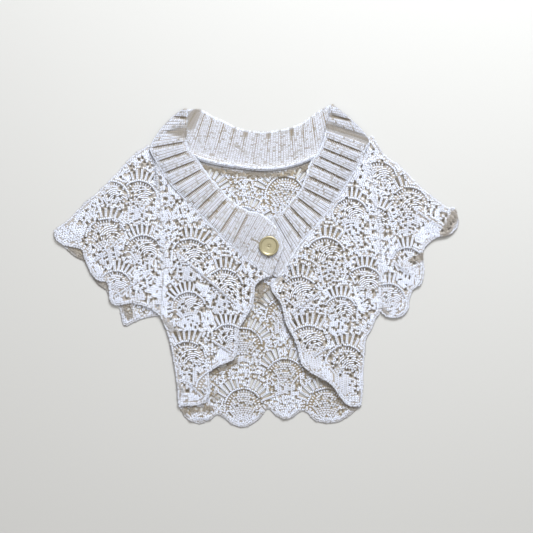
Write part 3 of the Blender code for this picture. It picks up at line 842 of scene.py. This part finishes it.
def lacePiece(piece):
    outline, low = outlines[piece["node"]]
    fine = catmull(np.vstack((outline, outline[:1])), np.arange(0, len(outline), 1 / 3))
    seed = int(piece["seed"] * 10)
    draw = np.random.default_rng(seed)
    sizes = piece.get("sizes", fan["sizes"])
    spots = [(x + tableShift[0], y + tableShift[1], lean, rays, draw.uniform(*sizes))
             for x, y, lean, rays in piece["spots"] or columnSpots(piece, fine)]
    relief = reliefOf(low, piece, spots)
    gaps = gapsOf(piece, spots, fine, draw)
    web = webPiece(piece, fine, gaps, relief)
    keepOut = [outlines[name][0] for name in piece["covers"]]
    batches = stitchPlan(piece, fine, spots, gaps, keepOut, draw)
    stitches = knitPiece(piece["node"] + "_stitches", onRelief(relief, cloth["yarnBase"]), batches, seed)
    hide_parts(piece["node"])
    print(piece["node"], len(gaps), "gaps,", len(web.data.polygons), "ground,",
          len(stitches.data.polygons), "yarn triangles")


for piece in (backPanel, leftFront, rightFront, leftSleeveFront, rightSleeveFront, leftSleeveBack,
              rightSleeveBack):
    lacePiece(piece)


# The ribbed neck band, in three pieces, in mm. u runs along a band and v across it from the seam; "columns"
# are the places of the stitches across a rib and their widths, "folds" and "slit" are in u and v

frontRib = {
    # the first value on the line below is how much painted shade the band's ground between the stitches
    # gets
    "between": 0.76, "swell": 0.6, "pitch": 17.5, "ribHeight": 2.4, "lip": 0.4, "slope": 0.34,
    "grooveWide": (0.1, 0.24, 1.6), "roll": (0, 0), "fade": (0.16, 0.13),
    "columns": ((0.1, 0.68), (0.29, 0.70), (0.5, 0.68), (0.71, 0.58), (0.89, 0.52)),
}
backBand = {
    "node": "neck_band_back", "seed": 21, "covers": ("neck_band_left", "neck_band_right"), "restsOn": [],
    # the first value on the line below is how much painted shade the band's ground between the stitches
    # gets
    "between": 0.78, "swell": 0.5, "pitch": 19.0, "length": 68.0, "ribHeight": 1.5, "lip": 0.0,
    "slope": 0.12, "grooveWide": (0.05, 0.2, 7), "roll": (0.06, 4.2), "fade": (0.75, 0.05),
    "columns": ((0.1, 0.74), (0.3, 0.76), (0.5, 0.76), (0.7, 0.76), (0.9, 0.74)),
    "grooves": (
        # x and y at the seam, x and y at the free edge, depth
        (-173, 196, -114, 257, 0.4), (-139, 186, -97, 258, 0.5), (-109, 178, -84, 254, 0.9),
        (-91, 172, -71, 246, 1.0), (-73, 167, -52, 238, 0.9), (-51, 163, -35, 229, 0.7),
        (-30, 160, -16, 223, 0.6), (-7, 157, 3, 221, 0.5), (16, 156, 21, 221, 0.5), (41, 158, 41, 224, 0.6),
        (63, 163, 58, 228, 0.7), (81, 169, 77, 236, 0.9), (101, 178, 92, 247, 1.0),
        (127, 186, 109, 258, 0.8), (155, 193, 124, 265, 0.5), (182, 206, 128, 264, 0.4),
    ),
    "folds": (
        # u, v, radius, u, v, radius, depth
        (24, 42, 6, 20, 60, 12, 0.5), (95, 58, 1.6, 95, 63, 2.4, 0.6), (114, 57, 2.6, 114, 63, 3.6, 0.9),
        (133, 60, 1.5, 133, 64, 2.2, 0.6), (152, 58, 2.6, 152, 63, 3.4, 0.9),
        (190, 55, 3.0, 190, 63, 4.4, 0.9),
    ),
}
rightBand = {
    **frontRib, "node": "neck_band_right", "seed": 23, "covers": ("neck_band_left",),
    "restsOn": ["neck_band_back"], "length": 76.0,
    "grooves": (
        (127, 265, 123, 265, 0.6), (158, 239, 121, 248, 0.7), (184, 209, 116, 230, 0.25),
        (178, 185, 112, 211, 0.9), (171, 168, 106, 195, 1.0), (162, 153, 99, 182, 1.0),
        (153, 138, 89, 169, 1.0), (142, 122, 82, 149, 1.0), (129, 102, 75, 130, 1.0),
        (111, 79, 65, 115, 1.0), (94, 59, 53, 101, 1.0), (78, 41, 42, 89, 0.9), (63, 19, 28, 82, 0.4),
        (48, -4, 15, 74, 0.25), (35, -19, 5, 62, 0.2), (20, -9, -2, 49, 0.2),
    ),
    "folds": ((37, 3, 4.2, 35, 75, 6.0, 2.4), (19, 10, 1.0, 18, 72, 4.0, 1.8)),
}
leftBand = {
    **frontRib, "node": "neck_band_left", "seed": 22, "covers": (),
    "restsOn": ["neck_band_back", "neck_band_right"], "length": 80.0,
    "grooves": (
        (-119, 258, -112, 258, 0.6), (-137, 245, -113, 244, 0.7), (-159, 221, -114, 222, 0.3),
        (-174, 193, -114, 204, 0.9), (-164, 170, -109, 189, 1.0), (-153, 151, -96, 174, 1.0),
        (-139, 131, -86, 160, 1.0), (-119, 110, -74, 143, 1.0), (-99, 90, -60, 128, 1.0),
        (-82, 73, -46, 113, 1.0), (-61, 52, -30, 100, 1.0), (-40, 33, -12, 90, 0.8), (-29, 22, 6, 86, 0.4),
        (-14, 11, 22, 75, 0.3), (10, -7, 35, 58, 0.15), (26, -17, 45, 28, 0.15),
    ),
    "folds": ((36, 24, 1.0, 38, 79, 10.0, 2.2), (19, 44, 1.0, 20, 76, 3.4, 1.6)),
    "slit": (219, 33.5, 232, 37.0),
}
bandKnit = {
    "row": 2.75, "edgeStep": 3.2, "edgeIn": 1.4, "rollRows": (1.0, 3.3, 5.6),
    "shallow": 0.42,  # a groove no deeper than this is knitted over as flat cloth
}


def foldAt(band, u, v):
    # how far into a fold each point lies, from 0 to 1, and how deep it is there
    points = np.column_stack((u, v))
    inside, depth = np.zeros(len(points)), np.zeros(len(points))
    for *fold, deep in band["folds"]:
        within, wide = depthIn(points, *fold)
        part = smoothStep(0.5 + within / (1.6 + 0.7 * wide))
        inside, depth = np.maximum(inside, part), np.maximum(depth, part * deep)
    return inside, depth


def slitAt(band, u, v):
    # 1 inside the buttonhole, 0 away from it
    if "slit" not in band:
        return np.zeros(len(u))
    return smoothStep((2.0 - lineAway(np.column_stack((u, v)), np.reshape(band["slit"], (2, 2)))[0]) / 0.9)


def grooveDepth(band, s, t):
    # 1 for a full groove; it dies out towards both ends of a rib
    depth = np.interp(s, np.arange(len(band["grooves"])), [groove[4] for groove in band["grooves"]])
    seamFade, freeFade = band["fade"]
    return depth * smoothStep((t - 0.02) / seamFade) * smoothStep((0.97 - t) / freeFade)


def grooveHalf(band, t):
    narrow, wide, bend = band["grooveWide"]
    return narrow + (wide - narrow) * np.clip(t, 0, 1) ** bend


def ribAt(band, s, t):
    # the rib's height and how far each point lies in a groove, from 0 to 1
    half, depth, part = grooveHalf(band, t), grooveDepth(band, s, t), s - np.floor(s)
    rise = smoothStep(part / (half + band["slope"]))
    fall = smoothStep((1 - part) / (0.07 if band["lip"] else band["slope"]))
    height = band["ribHeight"] * depth * np.minimum(rise, fall)
    if band["lip"]:
        height = height + band["lip"] * depth * np.exp(-((part - 0.9) / 0.09) ** 2)
        inGroove = smoothStep((half + 0.04 - part) / 0.08) + smoothStep((part - 0.97) / 0.03)
    else:
        inGroove = smoothStep((half + 0.04 - np.minimum(part, 1 - part)) / 0.08)
    return height, np.clip(inGroove, 0, 1) * np.clip(depth * 1.2, 0, 1)


def onBand(band, relief, base):
    # puts points given along and across the band on its ribbed face
    grooves = np.array(band["grooves"], float)
    seam, free = grooves[:, :2] + tableShift, grooves[:, 2:4] + tableShift
    last = len(grooves) - 1

    def place(u, v):
        shape, u, v = np.shape(u), np.ravel(u), np.ravel(v)
        s, t = u / band["pitch"], v / band["length"]
        outer, inner = catmull(seam, s), catmull(free, s)
        near = np.clip(s, 0.03, last - 0.03)
        ahead = catmull(seam, near + 0.02) - catmull(seam, near - 0.02)
        ahead /= np.maximum(np.linalg.norm(ahead, axis=1, keepdims=True), 1e-6)
        beyond = (s - np.clip(s, 0, last)) * band["pitch"]
        flat = outer + (inner - outer) * t[:, None] + ahead * beyond[:, None]
        rib = ribAt(band, np.clip(s, 0, last - 1e-6), t)[0]
        edge = smoothStep(np.minimum(t, 1 - t) * band["length"] / 4.0)
        z = 1.1 + 0.9 * edge + rib * (0.4 + 0.6 * edge)
        rollWide, rollHigh = band["roll"]
        if rollHigh:
            z = z + rollHigh * np.exp(-((t - rollWide) / rollWide) ** 2)
        z = np.maximum(z - foldAt(band, u, v)[1], 0.8) - 0.6 * slitAt(band, u, v)
        covered = heightAt(relief, flat[:, 0], flat[:, 1], "covered")
        z = z + (1.2 - z) * covered + heightAt(relief, flat[:, 0], flat[:, 1]) + base
        return flat[:, 0].reshape(shape), flat[:, 1].reshape(shape), z.reshape(shape)

    return place


def bandShell(band, relief):
    # the closed ribbed sheet that the stitches lie on
    ribs = len(band["grooves"]) - 1
    parts = (0, 0.04, 0.1, 0.18, 0.28, 0.4, 0.6, 0.8, 0.9, 0.96)
    s = np.array([i + part for i in range(ribs) for part in parts] + [ribs - 1e-4])
    t = np.array((0, 0.02, 0.045, 0.07, 0.1, 0.14, 0.22, 0.32, 0.42, 0.52, 0.62, 0.72, 0.8, 0.86, 0.91,
                  0.95, 0.98, 1))
    u, v = (grid.ravel() for grid in np.meshgrid(s * band["pitch"], t * band["length"], indexing="ij"))
    x, y, z = onBand(band, relief, 0)(u, v)
    index = np.arange(len(u)).reshape(len(s), len(t))
    a, b, c, d = (part.ravel() for part in (index[:-1, :-1], index[1:, :-1], index[1:, 1:], index[:-1, 1:]))
    triangles = np.concatenate((np.column_stack((a, b, c)), np.column_stack((a, c, d))))
    flat = np.column_stack((x, y))
    if np.cross(flat[b[0]] - flat[a[0]], flat[d[0]] - flat[a[0]]) < 0:
        triangles = triangles[:, ::-1]
    inGroove = ribAt(band, np.clip(u / band["pitch"], 0, ribs - 1e-6), v / band["length"])[1]
    # painted shade on the ground: the band's level between the stitches, full in the grooves
    paintedShade = band["between"] + (1 - band["between"]) * inGroove
    return closedSheet(band["node"] + "_rib", flat, z, heightAt(relief, x, y) + cloth["webLow"],
                       triangles, paintedShade)


def bandStitches(band, relief):
    # columns of stitches along the ribs, short bars in the grooves and a row of stitches on both edges
    grooves = np.array(band["grooves"], float)
    pitch, length = band["pitch"], band["length"]
    plain, plies, bars, knobs = [], [], [], []
    for rib in range(len(grooves) - 1):
        for column, (part, broad) in enumerate(band["columns"]):
            s = rib + part
            seam, free = catmull(grooves[:, :2], [s])[0], catmull(grooves[:, 2:4], [s])[0]
            real = float(np.linalg.norm(free - seam))
            rows, along = max(2, int(real / bandKnit["row"])), length / real
            for k in range(rows):
                t = (k + 0.5) / rows
                depth = float(grooveDepth(band, s, t))
                staggered = (t + 0.5 * (column % 2) / rows) * length
                if not band["lip"]:
                    if t > 0.1:
                        across = broad - 0.22 * depth * (column in (0, 4))
                        plain.append((s * pitch, staggered, 0, across, 0.64 * along, -0.1, 0.0))
                elif depth <= bandKnit["shallow"]:
                    plain.append((s * pitch, staggered, 0, 0.68, 0.63 * along, 0.0, 0.0))
                elif column == 0:
                    # a short bar across the groove, with a little painted shade
                    bars.append((s * pitch, t * length, 90, 0.8 * along, 0.95, 0.0, 0.2))
                elif part > grooveHalf(band, t) + 0.02:
                    plain.append((s * pitch, t * length, 0, broad, 0.7 * along, 0.0, 0.0))
        for t, i in ((0, 0), (1, 2)):
            run = catmull(grooves[:, i:i + 2], [rib, rib + 0.5, rib + 1])
            real = float(np.linalg.norm(np.diff(run, axis=0), axis=1).sum())
            steps = max(1, int(real / bandKnit["edgeStep"]))
            for k in range(steps):
                u, across = (rib + (k + 0.5) / steps) * pitch, pitch / real
                if t == 1 or not band["roll"][1]:
                    v = length - bandKnit["edgeIn"] if t else bandKnit["edgeIn"]
                    knobs.append((u, v, 180 * t, 0.8 * across, 0.85, 0.1, 0.0))
                else:
                    plies += [(u, v, 0, 0.85 * across, 1.15, 0.0, -0.1) for v in bandKnit["rollRows"]]
    place, draw = onBand(band, relief, 0.2), np.random.default_rng(band["seed"])
    kept = []
    for form, rows in ((knitStitch, plain + knobs), (plyStitch, plies), (barStitch, bars)):
        rows = np.array(rows, float).reshape(-1, 7)
        u, v = rows[:, 0], rows[:, 1]
        x, y, _ = place(u, v)
        rows[:, 6] = np.clip(rows[:, 6] + 0.8 * draw.random(len(rows)) ** 5, 0, 1)
        # painted shade on the stitches in the folds
        rows[:, 6] = np.maximum(rows[:, 6], 0.84 * foldAt(band, u, v)[0])
        shown = (heightAt(relief, x, y, "covered") < 0.8) & (slitAt(band, u, v) < 0.4)
        kept.append((form, rows[shown]))
    if "slit" in band:
        # plies in painted shade along the buttonhole, for the shade inside its slit
        u1, v1, u2, v2 = band["slit"]
        turn = -math.degrees(math.atan2(v2 - v1, u2 - u1))
        kept.append((plyStitch, [
            (u1 + (u2 - u1) * share, v1 + (v2 - v1) * share, turn, 0.8, 0.9, -0.3, 0.92)
            for share in (0.1, 0.3, 0.5, 0.7, 0.9)
        ]))
    return knitPiece(band["node"] + "_stitches", place, kept, band["seed"])


def ribPiece(band):
    outline, low = outlines[band["node"]]
    relief = reliefOf(low, band)
    shell, stitches = bandShell(band, relief), bandStitches(band, relief)
    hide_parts(band["node"])
    print(band["node"], len(shell.data.polygons), "ribbed,", len(stitches.data.polygons), "yarn triangles")


for band in (backBand, rightBand, leftBand):
    ribPiece(band)


# The button, in mm; "insets" are steps inwards across its face, each with its height

buttonShape = {
    "centre": (21.3, 32.3), "low": 10.9, "radius": 16.4, "thick": 2.8, "facets": 96,
    "insets": ((1.0, 0.6), (1.1, 0.2), (0.4, -0.1), (1.7, -1.1), (5.6, -0.25), (3.4, -0.05), (0.3, -0.6)),
    "bevel": 0.45, "dot": 1.4, "dotFlat": 0.6, "dotDrop": 0.45,
}


def makeButton(shape):
    x, y = tablePoints(*shape["centre"])[0] * mm
    bpy.ops.object.select_all(action="DESELECT")
    bpy.ops.mesh.primitive_cylinder_add(
        vertices=shape["facets"], radius=shape["radius"] * mm, depth=shape["thick"] * mm,
        location=(x, y, (shape["low"] + shape["thick"] / 2) * mm))
    button = bpy.context.object
    button.name = "button_face"
    bpy.ops.object.transform_apply(location=True)
    face = max(button.data.polygons, key=lambda polygon: polygon.center.z).index
    bpy.ops.object.mode_set(mode="EDIT")
    bpy.ops.mesh.select_mode(type="FACE")
    bpy.ops.mesh.select_all(action="DESELECT")
    bpy.ops.object.mode_set(mode="OBJECT")
    button.data.polygons[face].select = True
    bpy.ops.object.mode_set(mode="EDIT")
    for thickness, depth in shape["insets"]:
        bpy.ops.mesh.inset(thickness=thickness * mm, depth=depth * mm)
    bpy.ops.object.mode_set(mode="OBJECT")
    bevel = button.modifiers.new("rounded edges", "BEVEL")
    bevel.width = shape["bevel"] * mm
    bevel.segments = 3
    bevel.limit_method = "ANGLE"
    bpy.ops.object.modifier_apply(modifier=bevel.name)
    dotPlace = (x, y, (shape["low"] + shape["thick"] - shape["dotDrop"]) * mm)
    bpy.ops.mesh.primitive_uv_sphere_add(
        segments=24, ring_count=12, radius=shape["dot"] * mm, location=dotPlace,
        scale=(1, 1, shape["dotFlat"]))
    dot = bpy.context.object
    dot.name = "button_centre"
    bpy.ops.object.transform_apply(location=True, scale=True)
    for item in (button, dot):
        bpy.ops.object.select_all(action="DESELECT")
        item.select_set(True)
        bpy.context.view_layer.objects.active = item
        bpy.ops.object.shade_smooth_by_angle(angle=math.radians(35))
        item.data.materials.append(goldMaterial)
        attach(item, "root")
    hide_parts("button")
    print("button made")


makeButton(buttonShape)


# The floor, the light and the camera, in metres

studio = {
    "floorColour": (0.44, 0.425, 0.40, 1), "floorRough": 0.9, "floorSize": 6.0,
    "keyPlace": (0.55, 1.9, 1.55), "keySize": 0.9, "keyPower": 118, "keyColour": (0.88, 0.935, 1.0),
    "fillPlace": (0, -0.2, 2.6), "fillSize": 2.5, "fillPower": 37.5, "fillColour": (0.88, 0.935, 1.0),
    "skyColour": (1.0, 0.94, 0.86, 1), "skyStrength": 0.37,
    "cameraHeight": 2.2, "sensor": 36, "frameWidth": 0.8795, "frameCentre": (0.0168, -0.0005),
}


def makeStudio(look):
    bpy.ops.object.select_all(action="DESELECT")
    bpy.ops.mesh.primitive_plane_add(size=look["floorSize"])
    floor = bpy.context.object
    floor.name = "floor"
    material, _ = newMaterial("floor", {"Base Color": look["floorColour"], "Roughness": look["floorRough"]})
    floor.data.materials.append(material)
    for name in ("key", "fill"):
        bpy.ops.object.light_add(type="AREA", location=look[name + "Place"])
        light = bpy.context.object
        light.name = name
        light.data.size = look[name + "Size"]
        light.data.energy = look[name + "Power"]
        light.data.color = look[name + "Colour"]
        light.rotation_euler = (-Vector(look[name + "Place"])).to_track_quat("-Z", "Y").to_euler()
    world = bpy.data.worlds.new("sky")
    world.use_nodes = True
    sky = world.node_tree.nodes["Background"]
    sky.inputs["Color"].default_value = look["skyColour"]
    sky.inputs["Strength"].default_value = look["skyStrength"]
    bpy.context.scene.world = world
    bpy.context.scene.view_settings.view_transform = "Standard"
    bpy.ops.object.camera_add(location=(*look["frameCentre"], look["cameraHeight"]), rotation=(0, 0, 0))
    camera = bpy.context.object
    camera.data.sensor_width = look["sensor"]
    camera.data.lens = look["sensor"] * look["cameraHeight"] / look["frameWidth"]
    bpy.context.scene.camera = camera


makeStudio(studio)
print("studio set")
